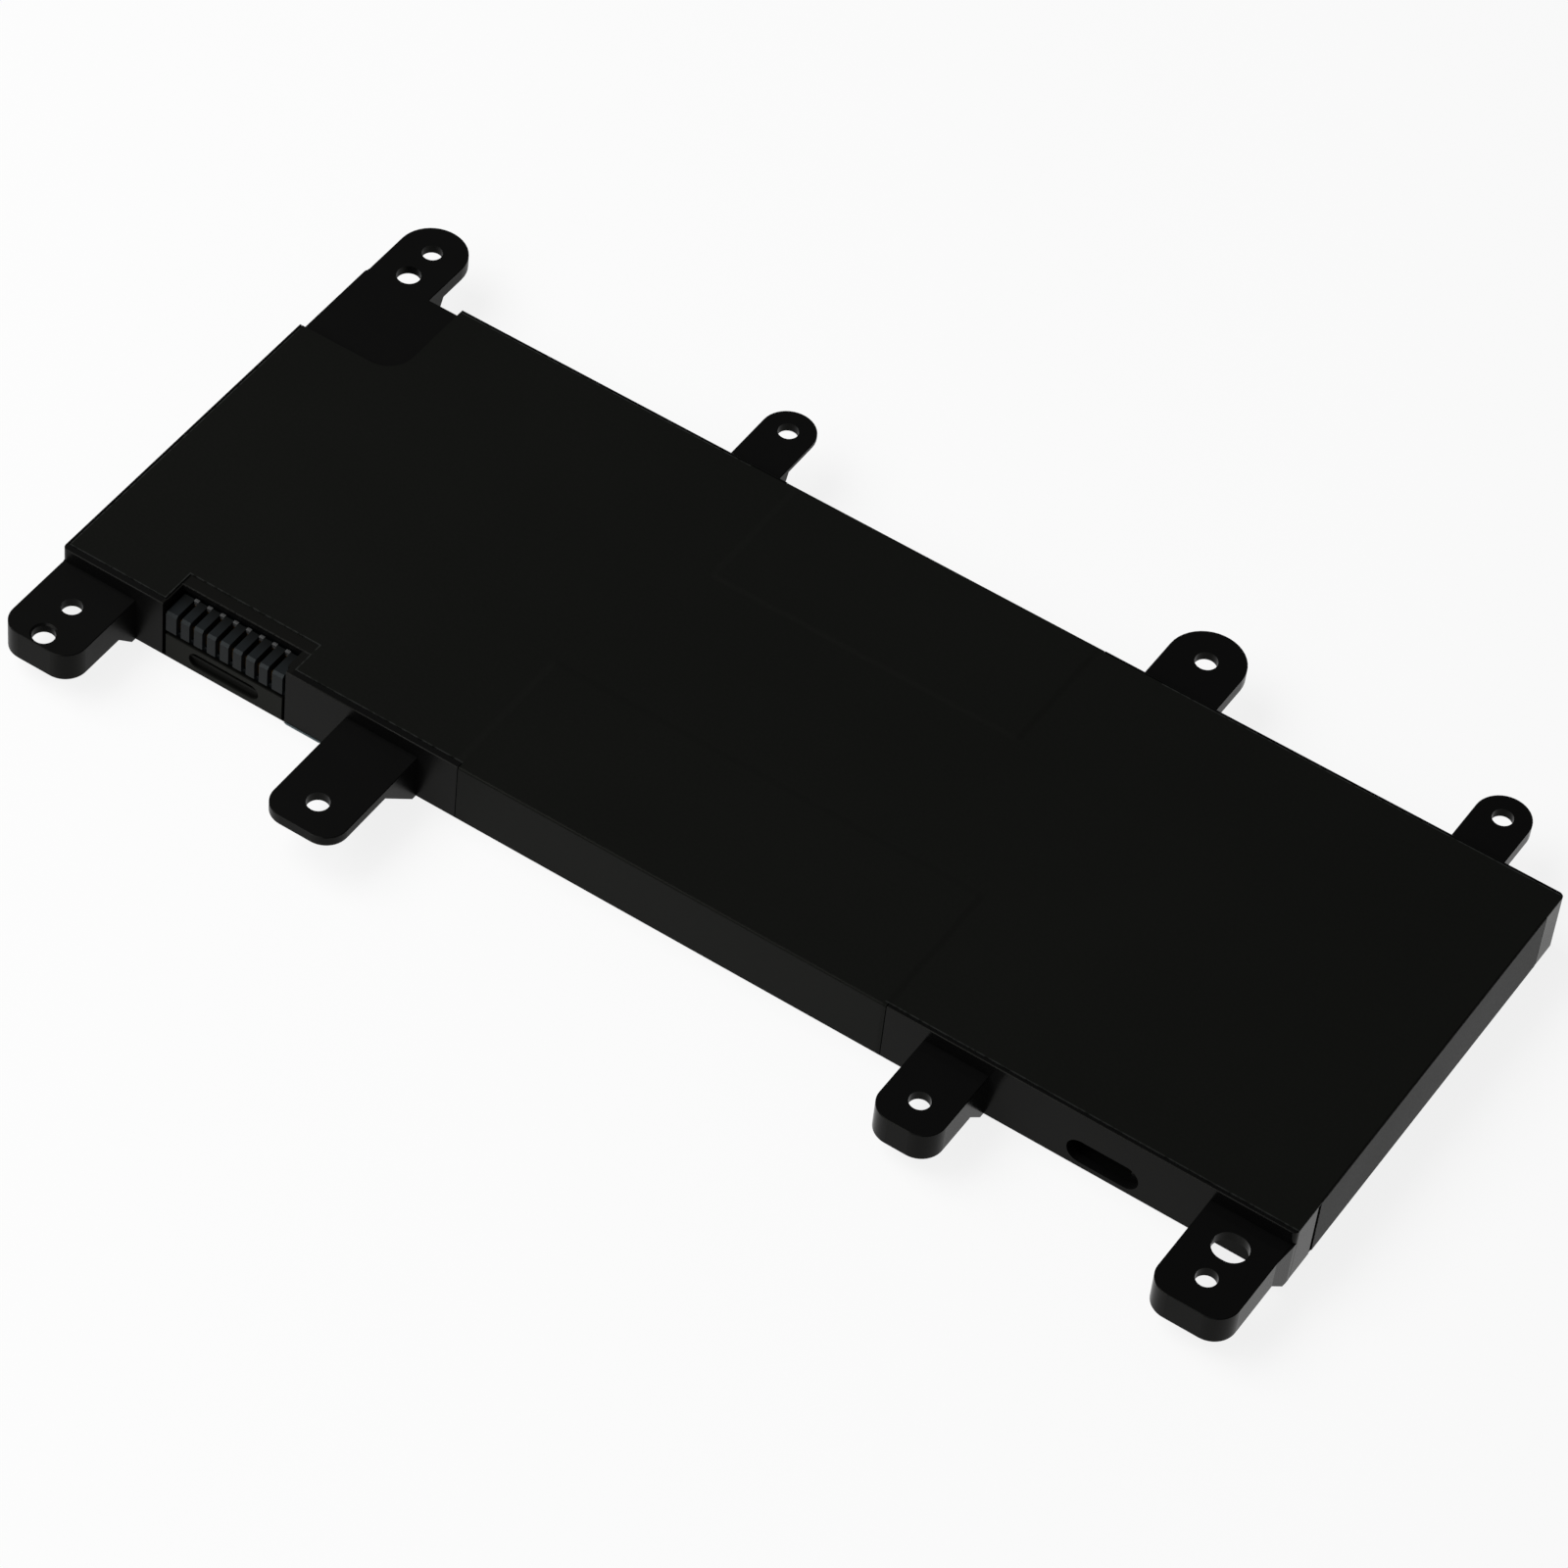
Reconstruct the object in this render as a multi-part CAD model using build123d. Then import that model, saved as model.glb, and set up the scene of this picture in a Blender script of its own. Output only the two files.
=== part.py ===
from build123d import *
import os

# A flat battery pack that is screwed inside a laptop. Sizes are in millimetres. X runs along the
# length, Y from the connector edge to the rear and Z up; the origin is the middle of the underside.

# Body
body_length = 180.0
body_depth = 65.4
body_height = 9.4
corner_r = 0.8
edge_bevel = 0.1
wall = 1.2
film_t = 0.2

# Bays inside the frame, from the left end and from the front wall
rib_t = 1.0
left_bay = 16.0
front_bay = 12.0
left_ribs = [12.0, 26.0]
lead_rib_count = 8
lead_rib_start = 4.0
lead_rib_end = 6.0

# Ears
front_ear_t = 1.4
rear_ear_t = 1.3
ear_corner_r = 3.15
ear_bevel = 0.1
skirt_t = 1.2
skirt_depth = 4.3
gusset_reach = 3.45
gusset_foot = 0.75
front_ear_drop = 2.2
rear_ear_drop = 1.5
rear_skirt_depth = 2.0
screw_hole_r = 1.4
wide_hole_r = 1.52

# Front ears: middle from the nearer end of the body, width, and reach from the front wall
ear_f1_x = 5.9
ear_f1_width = 11.3
ear_f1_reach = 13.4
hole_f1_y = 5.65
pin_hole_f1_y = 11.35
pin_hole_f1_chamfer = 0.25
ear_f2_x = 49.2
ear_f2_width = 11.0
ear_f2_reach = 17.95
hole_f2_y = 13.2
gusset_f2_reach = 6.8
ear_f3_x = 46.8
ear_f3_width = 9.3
ear_f3_reach = 12.9
hole_f3_y = 8.1
ear_f4_x = 5.9
ear_f4_width = 11.15
ear_f4_reach = 15.05
hole_f4_y = 10.1
slot_f4_y = 4.65
slot_f4_length = 4.75
slot_f4_width = 4.25

# Rear ears with round ends: middle from the nearer end, radius, and hole line behind the rear wall
rear_hole_y = 7.55
ear_r1_x = 5.0
ear_r1_r = 4.82
pin_hole_r1_y = 2.25
pin_hole_r1_r = 1.65
ear_r2_x = 60.25
ear_r2_r = 3.77
hole_r2_y = 8.97
under_bevel_r2 = 0.65
ear_r3_x = 55.72
ear_r3_r = 5.27
ear_r4_x = 12.74
ear_r4_r = 3.77

# Sunk rear left corner
pocket_length = 15.15
pocket_depth = 15.1
pocket_r = 4.0
pocket_wall = 1.2

# Top film: folds, set-back edges and the groove behind the front right corner
fold_r = 0.3
front_fold_start = 60.6
front_fold_end = 122.95
side_fold_start = 5.95
side_fold_end = 60.7
rear_fold_start = 66.0
rear_fold_end = 113.7
film_setback_left = 1.0
film_setback_right = 0.6
film_inset = 0.4
bottom_inset = 0.15
seam_gap = 0.12
groove_y = 5.2
groove_depth = 0.9
corner_block = 3.0
corner_block_depth = 8.0

# Window in the front wall, measured from the right end
window_x = 25.8
window_length = 10.0
window_height = 3.75
window_z = 2.85

# Connector
opening_x = 25.15
opening_length = 18.9
opening_depth = 4.25
film_cut_depth = 6.15
film_cut_left = 0.3
film_cut_right = 0.65
lip_length = 0.5
roof_t = 0.8
slot_count = 8
slot_pitch = 2.0
slot_width = 0.72
housing_gap = 0.5
housing_depth = 6.6
base_t = 0.75
base_front = 0.7
fin_front = 0.05
fin_rear = 4.0
fin_drop = 1.3
fin_chamfer = 0.35
rear_block_y = 4.6
rear_block_gap = 0.2
contact_t = 0.15
contact_y0 = 1.0
contact_y1 = 3.5
contact_arm = 2.95
riser_t = 0.5
riser_drop = 1.2
tail_width = 0.5
tail_t = 0.2
tail_end = 7.6

# Panel under the connector
panel_gap = 0.5
panel_t = 1.1
panel_recess_length = 10.7
panel_recess_height = 2.5
panel_recess_depth = 0.5
panel_rib = 0.4
panel_rib_z = 2.45
panel_foot = 1.5
panel_foot_t = 0.8
panel_foot_inset = 2.0

# Circuit board
board_t = 1.0
board_top = 4.1
board_length = 42.4
board_depth = 8.2
board_gap = 0.2
board_side_gap = 0.7
sheet_t = 0.15
peg_r = 0.5
peg_gap = 0.1
peg_rise = 0.6
peg_left = 1.2
peg_left_y = 0.9
peg_right = 6.0
peg_right_y = 1.3
board_rib_count = 5
board_end_rib = 0.7
positive_pad_y = 3.6

# Components on the board: place from the connector's right cheek and from the board's front edge,
# then length, depth and height
charge_transistor_size = (3.5, 0.3, 3.0, 3.0, 0.9)
discharge_transistor_size = (6.9, 0.3, 3.0, 3.0, 0.9)
fuse_size = (10.5, 0.4, 3.2, 2.4, 1.1)
sense_resistor_size = (14.6, 0.4, 1.8, 3.2, 0.6)
thermistor_size = (15.9, 4.5, 1.0, 0.5, 0.5)
protector_chip_size = (0.8, 0.3, 2.2, 3.0, 0.9)
gauge_chip_size = (1.5, 3.6, 5.0, 4.0, 1.0)
protector_chip_lead_count = 3
gauge_chip_lead_count = 7
chip_lead_reach = 0.5
chip_lead_width = 0.3
chip_lead_t = 0.3
capacitor_size = (0.8, 3.9, 0.5, 0.6, 0.5)
capacitor_count = 4
capacitor_step = 0.9
resistor_size = (-16.4, 7.0, 1.0, 0.5, 0.35)
resistor_count = 8
resistor_step = 2.0

# Cells
cell_gap = 0.3
divider_t = 0.8
pad_t = 0.2
foam_t = 0.4
pad_margin = 6.0
cell_corner_r = 2.0
cell_bevel = 1.0
seam_t = 0.4
seam_height = 3.0
seam_margin = 3.0
terrace_t = 0.4
terrace_reach = 3.5
terrace_start = 21.0
terrace_margin = 3.0
tab_t = 0.2
tab_width = 6.0
positive_tab_x = 30.0
negative_tab_end = 18.2
seal_reach = 1.0
seal_side = 1.0
seal_t = 0.15

# Leads
lead_t = 0.2
lead_width = 2.6
lead_end = 3.0
link_y = 5.8
return_y = 2.0
lead_overlap = 4.5
tape_t = 0.1
tape_margin = 0.3

# Places that follow from the sizes above
left = -body_length / 2
right = body_length / 2
front = -body_depth / 2
rear = body_depth / 2
frame_z0 = film_t
frame_z1 = body_height - film_t
above = 2 * body_height
outside = 1.0
rib_y0 = front + front_bay
rib_y1 = rib_y0 + rib_t
bay_x0 = left + left_bay
bay_x1 = bay_x0 + rib_t
front_ear_z1 = body_height - front_ear_drop
front_ear_z0 = front_ear_z1 - front_ear_t
skirt_z0 = front_ear_z1 - skirt_depth
rear_ear_z1 = body_height - rear_ear_drop
rear_ear_z0 = rear_ear_z1 - rear_ear_t
open_x0 = left + opening_x - opening_length / 2
open_x1 = left + opening_x + opening_length / 2
roof_z0 = frame_z1 - roof_t
fin_z1 = body_height - fin_drop
base_z1 = board_top + base_t
board_x0 = open_x0 + board_side_gap
board_x1 = board_x0 + board_length
board_y0 = front + wall + board_gap
board_y1 = board_y0 + board_depth
board_z0 = board_top - board_t
sheet_z0 = board_z0 - sheet_t
lead_z1 = board_top + lead_t
tab_z = lead_z1 + tab_t / 2
terrace_z0 = tab_z - terrace_t / 2
cell_y0 = rib_y1 + cell_gap
cell_y1 = rear - wall - cell_gap
cell_z0 = film_t + pad_t
cell_z1 = body_height - film_t - foam_t
cell_length = (right - wall - cell_gap - bay_x1 - cell_gap - divider_t) / 2
cell_starts = [bay_x1 + cell_gap, bay_x1 + cell_gap + cell_length + divider_t]
terrace_y = cell_y0 - terrace_reach


def block(x0, x1, y0, y1, z0, z1):
    """A box between two opposite corners."""
    middle = Pos((x0 + x1) / 2, (y0 + y1) / 2, (z0 + z1) / 2)
    return middle * Box(x1 - x0, y1 - y0, z1 - z0)


def prism(outline, z0, z1):
    """A flat outline raised from one height to another."""
    return extrude(Pos(0, 0, z0) * outline, z1 - z0)


def bore(x, y, r):
    """An upright cutter for a round hole."""
    return Pos(x, y, body_height / 2) * Cylinder(r, 2 * body_height)


def side_plate(points, x0, x1):
    """A plate with the outline given in Y and Z, between two places along X."""
    outline = make_face(Polyline(*points, close=True))
    return extrude(Plane.YZ.offset(x0) * outline, x1 - x0)


def wall_slot(x, z, length, height, y0, depth):
    """A long round-ended cutter through a front face."""
    face = Plane(origin=(x, y0, z), x_dir=(1, 0, 0), z_dir=(0, 1, 0))
    return extrude(face * SlotOverall(length, height), depth)


def front_outline(x, width, reach, inset=0.0):
    """A front ear seen from above: square at the wall, with both outer corners round."""
    wide = width - 2 * inset
    deep = reach - inset
    plain = Pos(x, front - deep / 2) * Rectangle(wide, deep)
    return fillet(plain.vertices().group_by(Axis.Y)[0], ear_corner_r - inset)


def bevelled(ear, side, outward, size):
    """The ear with the outer edge of its upper or lower side bevelled, away from the wall."""
    face = ear.faces().sort_by(Axis.Z)[side]
    outer = [edge for edge in face.edges() if outward(edge.center().Y) > 0.01]
    return chamfer(outer, size)


def gusset(wall_y, outward, top, level, reach):
    """A gusset's outline in Y and Z: it hangs from an ear and slopes from a level to a foot at the wall."""
    inner = wall_y - outward * wall / 2
    tip = wall_y + outward * reach
    foot = wall_y + outward * gusset_foot
    return [(inner, top), (tip, top), (tip, level), (foot, frame_z0), (inner, frame_z0)]


def front_ear(x, width, reach, skirted, spread=0.0):
    """A front ear: a plate, with a skirt below it or plain, and a gusset down each side.

    The right gusset can spread past the edge of the plate, most at the wall and none at its tip.
    """
    outline = front_outline(x, width, reach)
    level = skirt_z0 if skirted else front_ear_z0
    ear = prism(outline, level, front_ear_z1)
    if skirted:
        ear -= prism(front_outline(x, width, reach, skirt_t), skirt_z0, front_ear_z0)
    ear = bevelled(ear, -1, lambda y: front - y, ear_bevel)
    span = gusset_reach if skirted else gusset_f2_reach
    slope = gusset(front, -1, front_ear_z1 - ear_bevel, level, span)
    ear += side_plate(slope, x - width / 2, x - width / 2 + skirt_t)
    edge = x + width / 2
    ear += side_plate(slope, edge - skirt_t, edge + spread)
    if spread:
        tip = front - span
        taper = Polyline((edge, tip), (edge + spread, tip), (edge + spread, front), close=True)
        ear -= prism(make_face(taper), frame_z0, front_ear_z1)
    root = block(x - width / 2, x + width / 2, front, front + wall, front_ear_z0, front_ear_z1)
    return ear + root


def rear_outline(x, r, y, inset=0.0):
    """A rear ear seen from above: square at the wall, with a round end about its hole."""
    return Pos(x, rear + y / 2) * Rectangle(2 * (r - inset), y) + Pos(x, rear + y) * Circle(r - inset)


def rear_ear(x, r, y, gussets, under_bevel=0.0):
    """A rear ear: a plate over a short skirt, or a plate with an under bevel, with or without gussets."""
    level = rear_ear_z0 if under_bevel else rear_ear_z1 - rear_skirt_depth
    ear = prism(rear_outline(x, r, y), level, rear_ear_z1)
    ear = bevelled(ear, -1, lambda at: at - rear, ear_bevel)
    if under_bevel:
        ear = bevelled(ear, 0, lambda at: at - rear, under_bevel)
    else:
        ear -= prism(rear_outline(x, r, y, skirt_t), level, rear_ear_z0)
    if gussets:
        slope = gusset(rear, 1, rear_ear_z1 - ear_bevel, level + under_bevel, gusset_reach)
        for x0 in (x - r, x + r - skirt_t):
            ear += side_plate(slope, x0, x0 + skirt_t)
    return ear + block(x - r, x + r, rear - wall, rear, rear_ear_z0, rear_ear_z1)


# The film as a lid over the whole body: its folds are cut from this, and the frame makes room
lid_outer = block(left, right, front, rear, frame_z0, body_height)
lid_outer = fillet(lid_outer.faces().sort_by(Axis.Z)[-1].edges(), fold_r)
lid_inner = block(left + film_t, right - film_t, front + film_t, rear - film_t, 0, frame_z1)
lid_inner = fillet(lid_inner.faces().sort_by(Axis.Z)[-1].edges(), fold_r - film_t)
lid = lid_outer - lid_inner
fold_in = 2 * fold_r


def fold_places(gap):
    """The three stretches of the edge where the film folds down, each longer by a gap at both ends."""
    front_x = (left + front_fold_start - gap, left + front_fold_end + gap)
    side_y = (front + side_fold_start - gap, front + side_fold_end + gap)
    rear_x = (left + rear_fold_start - gap, left + rear_fold_end + gap)
    return [
        block(*front_x, front - outside, front + fold_in, 0, above),
        block(right - fold_in, right + outside, *side_y, 0, above),
        block(*rear_x, rear - fold_in, rear + outside, 0, above),
    ]


def film_sheet(gap):
    """The flat part of the film with its set-back edges, larger by a gap all round and upwards."""
    y1 = rear - film_inset + gap
    sheet = block(left + film_inset - gap, right + gap, front, y1, frame_z1, body_height + gap)
    setback = front + film_setback_left - gap
    sheet -= block(left, left + front_fold_start - gap, front - outside, setback, 0, above)
    setback = front + film_setback_right - gap
    sheet -= block(left + front_fold_end + gap, right + outside, front - outside, setback, 0, above)
    return sheet


folds = fold_places(0)
groove = block(right - groove_depth, right + outside, front + groove_y, front + side_fold_start, 0, above)
pocket = Pos(left, rear) * Rectangle(2 * pocket_length, 2 * pocket_depth)
pocket = fillet(pocket.vertices().sort_by(SortBy.DISTANCE)[0], pocket_r)

# Moulded frame: the walls and the bays between them
body_outline = RectangleRounded(body_length, body_depth, corner_r)
frame = prism(body_outline, frame_z0, body_height)
for face in (-1, 0):
    frame = chamfer(frame.faces().sort_by(Axis.Z)[face].edges(), edge_bevel)
frame -= block(left + wall, bay_x0, rib_y1, rear - wall, 0, above)
frame -= block(left + wall, right - wall, front + wall, rib_y0, 0, above)
frame -= block(bay_x1, right - wall, rib_y1, rear - wall, 0, above)
for start in cell_starts:
    end = start + cell_length - terrace_margin + cell_gap
    begin = start + terrace_start - cell_gap
    frame -= block(begin, end, rib_y0 - outside, cell_y0, terrace_z0, above)

# Sunk corner: a solid seat, cut down to the level of the rear ears
seat_x1 = left + pocket_length + pocket_wall
frame += block(left + wall, seat_x1, rear - pocket_depth - pocket_wall, rear - wall, rear_ear_z0, frame_z1)
frame -= prism(pocket, rear_ear_z1, above)

# Connector opening, its cheeks, its roof and the lip of the right cheek
frame -= block(open_x0, open_x1, front - outside, front + wall, 0, above)
frame += block(open_x0 - wall, open_x0, front + wall / 2, rib_y0, frame_z0, frame_z1)
frame += block(open_x1, open_x1 + wall, front + wall / 2, rib_y0, board_top + board_gap, frame_z1)
frame += block(open_x0 - wall, open_x1 + wall, front + opening_depth, rib_y1, roof_z0, frame_z1)
frame += block(open_x1 - lip_length, open_x1, front + wall, front + opening_depth, roof_z0, frame_z1)

# Ribs that carry the board and the leads
peg_places = [(board_x0 + peg_left, board_y1 - peg_left_y), (board_x1 - peg_right, board_y1 - peg_right_y)]
board_rib_step = (board_length - peg_left - peg_right) / (board_rib_count - 1)
for step in range(board_rib_count):
    x = board_x0 + peg_left + step * board_rib_step
    frame += block(x - rib_t / 2, x + rib_t / 2, front + opening_depth, rib_y0, frame_z0, sheet_z0)
x = board_x1 - board_end_rib
frame += block(x - rib_t / 2, x + rib_t / 2, front + wall, rib_y0, frame_z0, sheet_z0)
for x, y in peg_places:
    frame += prism(Pos(x, y) * Circle(peg_r), sheet_z0, board_top + peg_rise)
lead_rib_x0 = board_x1 + lead_rib_start
lead_rib_step = (right - lead_rib_end - lead_rib_x0) / (lead_rib_count - 1)
for step in range(lead_rib_count):
    x = lead_rib_x0 + step * lead_rib_step
    frame += block(x - rib_t / 2, x + rib_t / 2, front + wall, rib_y0, frame_z0, board_top)
for y in left_ribs:
    frame += block(left + wall, bay_x0, rib_y1 + y, rib_y1 + y + rib_t, frame_z0, frame_z1)

# Corner block with its groove, the recess and folds of the film, and the window
corner_y1 = front + corner_block_depth
frame += block(right - corner_block, right - wall, front + wall, corner_y1, frame_z0, frame_z1)
frame -= film_sheet(seam_gap)
for fold in fold_places(seam_gap):
    frame -= fold - lid_inner
frame -= groove
frame -= wall_slot(right - window_x, window_z, window_length, window_height, front - outside, wall + outside)

# Ears and their holes
x_f1 = left + ear_f1_x
x_f2 = left + ear_f2_x
x_f3 = right - ear_f3_x
x_f4 = right - ear_f4_x
x_r1 = left + ear_r1_x
x_r2 = left + ear_r2_x
x_r3 = right - ear_r3_x
x_r4 = right - ear_r4_x
frame += front_ear(x_f1, ear_f1_width, ear_f1_reach, True)
frame += front_ear(x_f2, ear_f2_width, ear_f2_reach, False)
frame += front_ear(x_f3, ear_f3_width, ear_f3_reach, True)
frame += front_ear(x_f4, ear_f4_width, ear_f4_reach, True, ear_f4_x - ear_f4_width / 2)
frame += rear_ear(x_r1, ear_r1_r, rear_hole_y, True)
frame += rear_ear(x_r2, ear_r2_r, hole_r2_y, True, under_bevel_r2)
frame += rear_ear(x_r3, ear_r3_r, rear_hole_y, False)
frame += rear_ear(x_r4, ear_r4_r, rear_hole_y, False)
frame -= bore(x_f1, front - hole_f1_y, screw_hole_r)
frame -= bore(x_f2, front - hole_f2_y, wide_hole_r)
frame -= bore(x_f3, front - hole_f3_y, screw_hole_r)
frame -= bore(x_f4, front - hole_f4_y, screw_hole_r)
frame -= bore(x_r1, rear + rear_hole_y, screw_hole_r)
frame -= bore(x_r2, rear + hole_r2_y, screw_hole_r)
frame -= bore(x_r3, rear + rear_hole_y, wide_hole_r)
frame -= bore(x_r4, rear + rear_hole_y, screw_hole_r)
frame -= bore(x_r1, rear + pin_hole_r1_y, pin_hole_r1_r)
frame -= bore(x_f1, front - pin_hole_f1_y, wide_hole_r)
frame -= Pos(x_f1, front - pin_hole_f1_y, front_ear_z1 - pin_hole_f1_chamfer / 2) * Cone(
    wide_hole_r, wide_hole_r + pin_hole_f1_chamfer, pin_hole_f1_chamfer
)
slot_f4 = SlotOverall(slot_f4_length, slot_f4_width)
frame -= prism(Pos(x_f4, front - slot_f4_y) * slot_f4, skirt_z0, above)

# Top film: a sheet with set-back edges and two cut-outs, joined to its folds
sheet = film_sheet(0) & prism(body_outline, frame_z1, body_height)
cut_x0 = open_x0 - film_cut_left
cut_x1 = open_x1 + film_cut_right
sheet -= block(cut_x0, cut_x1, front - outside, front + film_cut_depth, 0, above)
sheet -= prism(pocket, 0, above)
for fold in folds:
    sheet -= fold
top_film = sheet
for fold in folds:
    top_film += lid & fold

# Bottom film
bottom_outline = RectangleRounded(body_length - 2 * bottom_inset, body_depth - 2 * bottom_inset, corner_r)
bottom_film = prism(bottom_outline, 0, film_t)

# Connector: a base on the board, upright fins in front and a block behind, with the contacts between
house_x0 = open_x0 + housing_gap
house_x1 = open_x1 - housing_gap
house_x = (house_x0 + house_x1) / 2
house_y1 = front + housing_depth
rear_block_z1 = roof_z0 - rear_block_gap
housing = block(house_x0, house_x1, front + base_front, house_y1, board_top, base_z1)
housing += block(house_x0, house_x1, front + rear_block_y, house_y1, base_z1, rear_block_z1)
slots = [house_x + (n - (slot_count - 1) / 2) * slot_pitch for n in range(slot_count)]
fin_edges = [house_x0] + [x + side * slot_width / 2 for x in slots for side in (-1, 1)] + [house_x1]
for n in range(slot_count + 1):
    fin = block(fin_edges[2 * n], fin_edges[2 * n + 1], front + fin_front, front + fin_rear, base_z1, fin_z1)
    tip = fin.edges().filter_by(Axis.X).sort_by(lambda edge: edge.center().Y - edge.center().Z)[0]
    housing += chamfer(tip, fin_chamfer)


def contact(x):
    """A contact: two arms in the slot, a riser behind them and a tail along the board."""
    y0 = front + contact_y0
    y1 = front + contact_y1
    half = slot_width / 2
    shape = block(x - half, x + half, y0, y1, base_z1, base_z1 + contact_arm)
    shape -= block(x - half + contact_t, x + half - contact_t, y0, y1, base_z1 + contact_t, above)
    riser_z1 = body_height - riser_drop
    shape += block(x - half, x + half, y1, y1 + riser_t, board_top, riser_z1)
    end = front + tail_end
    return shape + block(x - tail_width / 2, x + tail_width / 2, y1, end, board_top, board_top + tail_t)


contacts = [contact(x) for x in slots]
for piece in contacts:
    housing -= piece

# Panel under the connector
panel_x0 = open_x0 + panel_gap
panel_x1 = open_x1 - panel_gap
panel_y0 = front + fin_front
panel = block(panel_x0, panel_x1, panel_y0, panel_y0 + panel_t, film_t, board_top)
panel_z = (film_t + board_top) / 2
panel -= wall_slot(house_x, panel_z, panel_recess_length, panel_recess_height, panel_y0, panel_recess_depth)
panel_rib_x = panel_recess_length / 2
panel += block(
    house_x - panel_rib_x, house_x + panel_rib_x, panel_y0 + panel_recess_depth / 2,
    panel_y0 + panel_recess_depth, panel_rib_z - panel_rib / 2, panel_rib_z + panel_rib / 2,
)
foot_y0 = panel_y0 + panel_t
foot_x0 = panel_x0 + panel_foot_inset
foot_x1 = panel_x1 - panel_foot_inset
panel += block(foot_x0, foot_x1, foot_y0, foot_y0 + panel_foot, film_t, film_t + panel_foot_t)

# Circuit board and the sheet under it, both held by two pegs of the frame
board = block(board_x0, board_x1, board_y0, board_y1, board_z0, board_top)
under_sheet = block(board_x0, board_x1, board_y0, board_y1, sheet_z0, board_z0)
for x, y in peg_places:
    board -= bore(x, y, peg_r + peg_gap)
    under_sheet -= bore(x, y, peg_r + peg_gap)


def chip(x, y, length, depth, height):
    """A plain component standing on the board, placed from the right end of the connector."""
    x0 = open_x1 + wall + x
    y0 = board_y0 + y
    return block(x0, x0 + length, y0, y0 + depth, board_top, board_top + height)


def leaded_chip(x, y, length, depth, height, leads):
    """A component with rows of short leads along its two long sides."""
    reach = chip_lead_reach
    shape = chip(x, y + reach, length, depth - 2 * reach, height)
    for n in range(leads):
        at = x + (n + 0.5) * length / leads - chip_lead_width / 2
        shape += chip(at, y, chip_lead_width, reach, chip_lead_t)
        shape += chip(at, y + depth - reach, chip_lead_width, reach, chip_lead_t)
    return shape


def chip_row(size, along, across, count):
    """Equal components in a row, a step apart."""
    x, y, length, depth, height = size
    return Part() + [chip(x + n * along, y + n * across, length, depth, height) for n in range(count)]


# Cells, tabs and seals
cells = []
tabs = []
seals = []
tab_places = []
tab_ends = [board_y0 + positive_pad_y, front + link_y, front + link_y, front + return_y]
for start in cell_starts:
    end = start + cell_length
    middle = Pos((start + end) / 2, (cell_y0 + cell_y1) / 2)
    outline = RectangleRounded(cell_length - 2 * seam_t, cell_y1 - cell_y0, cell_corner_r)
    cell = prism(middle * outline, cell_z0, cell_z1)
    for face in (-1, 0):
        cell = chamfer(cell.faces().sort_by(Axis.Z)[face].edges(), cell_bevel)
    cell += block(
        start + terrace_start, end - terrace_margin, terrace_y, cell_y0 + cell_bevel,
        terrace_z0, terrace_z0 + terrace_t,
    )
    seam_y0 = cell_y0 + seam_margin
    seam_y1 = cell_y1 - seam_margin
    cell += block(start, start + seam_t, seam_y0, seam_y1, tab_z, tab_z + seam_height)
    cell += block(end - seam_t, end, seam_y0, seam_y1, tab_z, tab_z + seam_height)
    cells.append(cell)
    for x in (start + positive_tab_x, end - negative_tab_end):
        tab_places.append(x)
        x0 = x - tab_width / 2
        x1 = x + tab_width / 2
        tab = block(x0, x1, tab_ends[len(tabs)], terrace_y, lead_z1, lead_z1 + tab_t)
        seal_z0 = lead_z1 - seal_t
        seal_z1 = lead_z1 + tab_t + seal_t
        seal = block(x0 - seal_side, x1 + seal_side, terrace_y - seal_reach, terrace_y, seal_z0, seal_z1)
        tabs.append(tab)
        seals.append(seal - tab)

# Leads from the tabs to the board, and the tape over them
link_y0 = front + link_y
return_y0 = front + return_y
positive_lead = block(
    tab_places[0] - tab_width / 2, tab_places[0] + tab_width / 2, tab_ends[0], tab_ends[0] + lead_width,
    board_top, lead_z1,
)
link_x1 = tab_places[2] + tab_width / 2
series_link = block(board_x1 - lead_end, link_x1, link_y0, link_y0 + lead_width, board_top, lead_z1)
return_x0 = board_x1 - lead_overlap
return_x1 = tab_places[3] + tab_width / 2
negative_lead = block(return_x0, return_x1, return_y0, return_y0 + lead_width, board_top, lead_z1)
tape_z0 = lead_z1 + tab_t
lead_tape = block(
    board_x1 + tape_margin, return_x1 + tape_margin, return_y0 - tape_margin, link_y0 + lead_width,
    tape_z0, tape_z0 + tape_t,
)

# Pads, foam sheets and the divider
pads = []
foams = []
for start in cell_starts:
    x0 = start + pad_margin
    x1 = start + cell_length - pad_margin
    y0 = cell_y0 + pad_margin
    y1 = cell_y1 - pad_margin
    pads.append(block(x0, x1, y0, y1, film_t, cell_z0))
    foams.append(block(x0, x1, y0, y1, cell_z1, frame_z1))
divider_x0 = cell_starts[0] + cell_length
divider_y0 = cell_y0 + pad_margin
divider_y1 = cell_y1 - pad_margin
divider_z1 = cell_z1 - cell_bevel
divider = block(divider_x0, divider_x0 + divider_t, divider_y0, divider_y1, film_t, divider_z1)

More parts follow.
